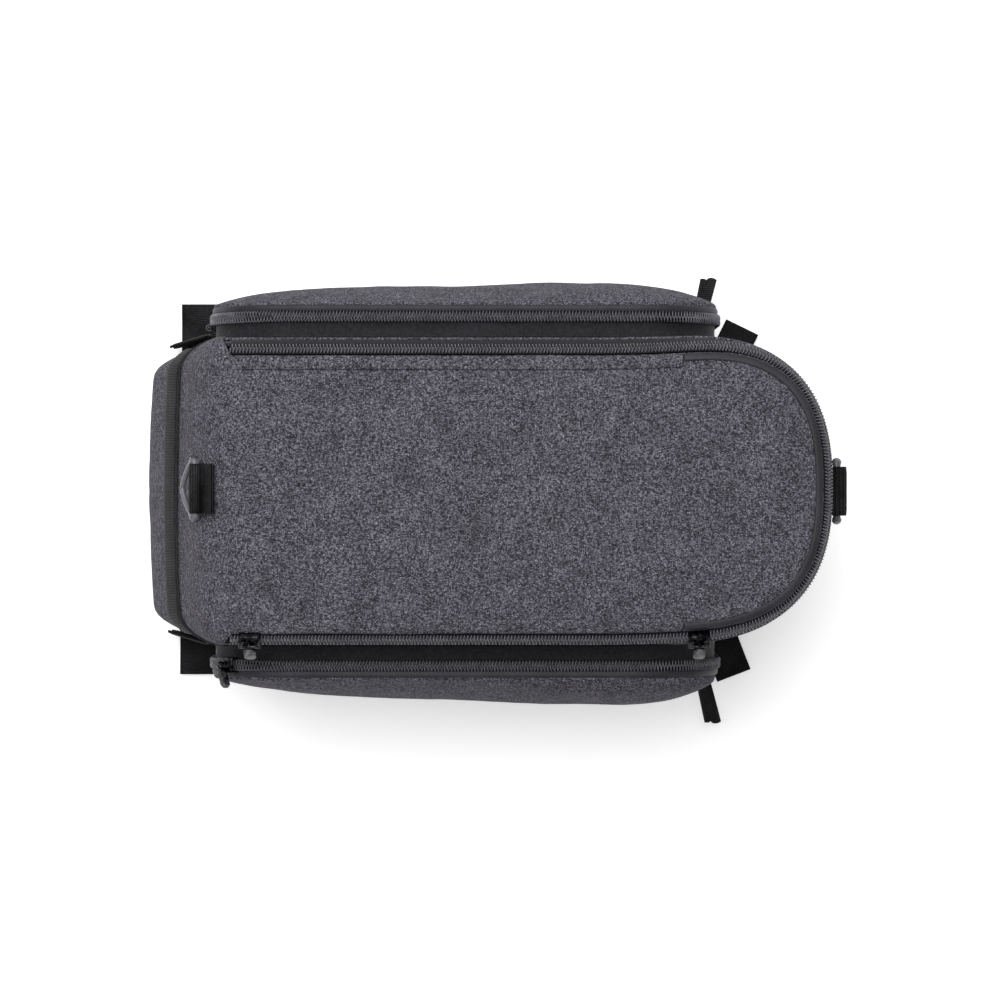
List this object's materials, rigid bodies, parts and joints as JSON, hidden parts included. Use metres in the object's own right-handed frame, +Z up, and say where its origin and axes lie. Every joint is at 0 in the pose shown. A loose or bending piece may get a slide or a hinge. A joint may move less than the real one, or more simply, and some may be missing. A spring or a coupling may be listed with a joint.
{
  "type": "bicycle trunk bag",
  "caption": "Padded box bag for a bicycle rack with a zipped lid, folded pannier pockets on both sides, rings at both ends and rack straps.",
  "frame": {"origin": "middle of the flat underside, on the surface that the bag rests on", "axes": "+X towards the rounded nose, +Y towards the left pocket, +Z up"},
  "size_m": [0.3632, 0.2478, 0.19],
  "materials": {
    "grey_fabric": "heathered woven polyester, matte, with light flecks",
    "black_fabric": "plain woven polyester, slight sheen",
    "black_webbing": "ribbed polypropylene webbing",
    "zip_coil": "nylon coil",
    "zip_metal": "black nickel, glossy",
    "ring_plastic": "moulded acetal, satin"
  },
  "bodies": {
    "bag": {"base_panel": "black_fabric", "wall_panel": "grey_fabric", "lid_panel": "grey_fabric", "lid_edge_strip_left": "grey_fabric", "lid_edge_strip_right": "grey_fabric", "lid_nose_band": "black_fabric", "lid_zip_tape": "black_fabric", "lid_zip_coil": "zip_coil", "lid_slider_front": "zip_metal", "lid_slider_rear": "zip_metal", "rear_webbing": "black_webbing", "rear_ring_tab": "black_webbing", "nose_ring_tab": "black_webbing", "pocket_gusset_left": "black_fabric", "pocket_zip_tape_left": "black_fabric", "pocket_zip_coil_left": "zip_coil", "pocket_band_left": "black_fabric", "pocket_cover_left": "grey_fabric", "pocket_slider_left": "zip_metal", "stay_strap_left": "black_webbing", "rack_strap_front_left": "black_webbing", "rack_strap_rear_left": "black_webbing", "rack_hook_rear_left": "black_webbing", "pocket_gusset_right": "black_fabric", "pocket_zip_tape_right": "black_fabric", "pocket_zip_coil_right": "zip_coil", "pocket_band_right": "black_fabric", "pocket_cover_right": "grey_fabric", "pocket_slider_right": "zip_metal", "stay_strap_right": "black_webbing", "rack_strap_front_right": "black_webbing", "rack_strap_rear_right": "black_webbing", "rack_hook_rear_right": "black_webbing"},
    "rear_ring_body": {"rear_ring": "ring_plastic"},
    "nose_ring_body": {"nose_ring": "ring_plastic"},
    "lid_pull_front_body": {"lid_pull_front": "zip_metal"},
    "lid_pull_rear_body": {"lid_pull_rear": "zip_metal"},
    "pocket_pull_left_body": {"pocket_pull_left": "zip_metal"},
    "pocket_pull_right_body": {"pocket_pull_right": "zip_metal"}
  },
  "joints": [
    {"name": "rear_ring_hinge", "type": "hinge", "parent": "bag", "child": "rear_ring_body", "pos_m": [-0.15348, 0, 0.18035], "axis": [0, 1, 0], "range_deg": [0, 130]},
    {"name": "nose_ring_hinge", "type": "hinge", "parent": "bag", "child": "nose_ring_body", "pos_m": [0.1718, 0, 0.1605], "axis": [0, -1, 0], "range_deg": [0, 150]},
    {"name": "lid_pull_front_hinge", "type": "hinge", "parent": "bag", "child": "lid_pull_front_body", "pos_m": [0.10021, -0.07798, 0.18687], "axis": [-0.9991, -0.0423, 0], "range_deg": [0, 120]},
    {"name": "lid_pull_rear_hinge", "type": "hinge", "parent": "bag", "child": "lid_pull_rear_body", "pos_m": [-0.126, -0.07813, 0.18687], "axis": [-1, 0, 0], "range_deg": [0, 120]},
    {"name": "pocket_pull_left_hinge", "type": "hinge", "parent": "bag", "child": "pocket_pull_left_body", "pos_m": [-0.15825, 0.08935, 0.048], "axis": [0, 0, 1], "range_deg": [0, 120]},
    {"name": "pocket_pull_right_hinge", "type": "hinge", "parent": "bag", "child": "pocket_pull_right_body", "pos_m": [-0.14352, -0.08935, 0.14971], "axis": [-0.7193, 0, -0.6947], "range_deg": [0, 120]}
  ]
}
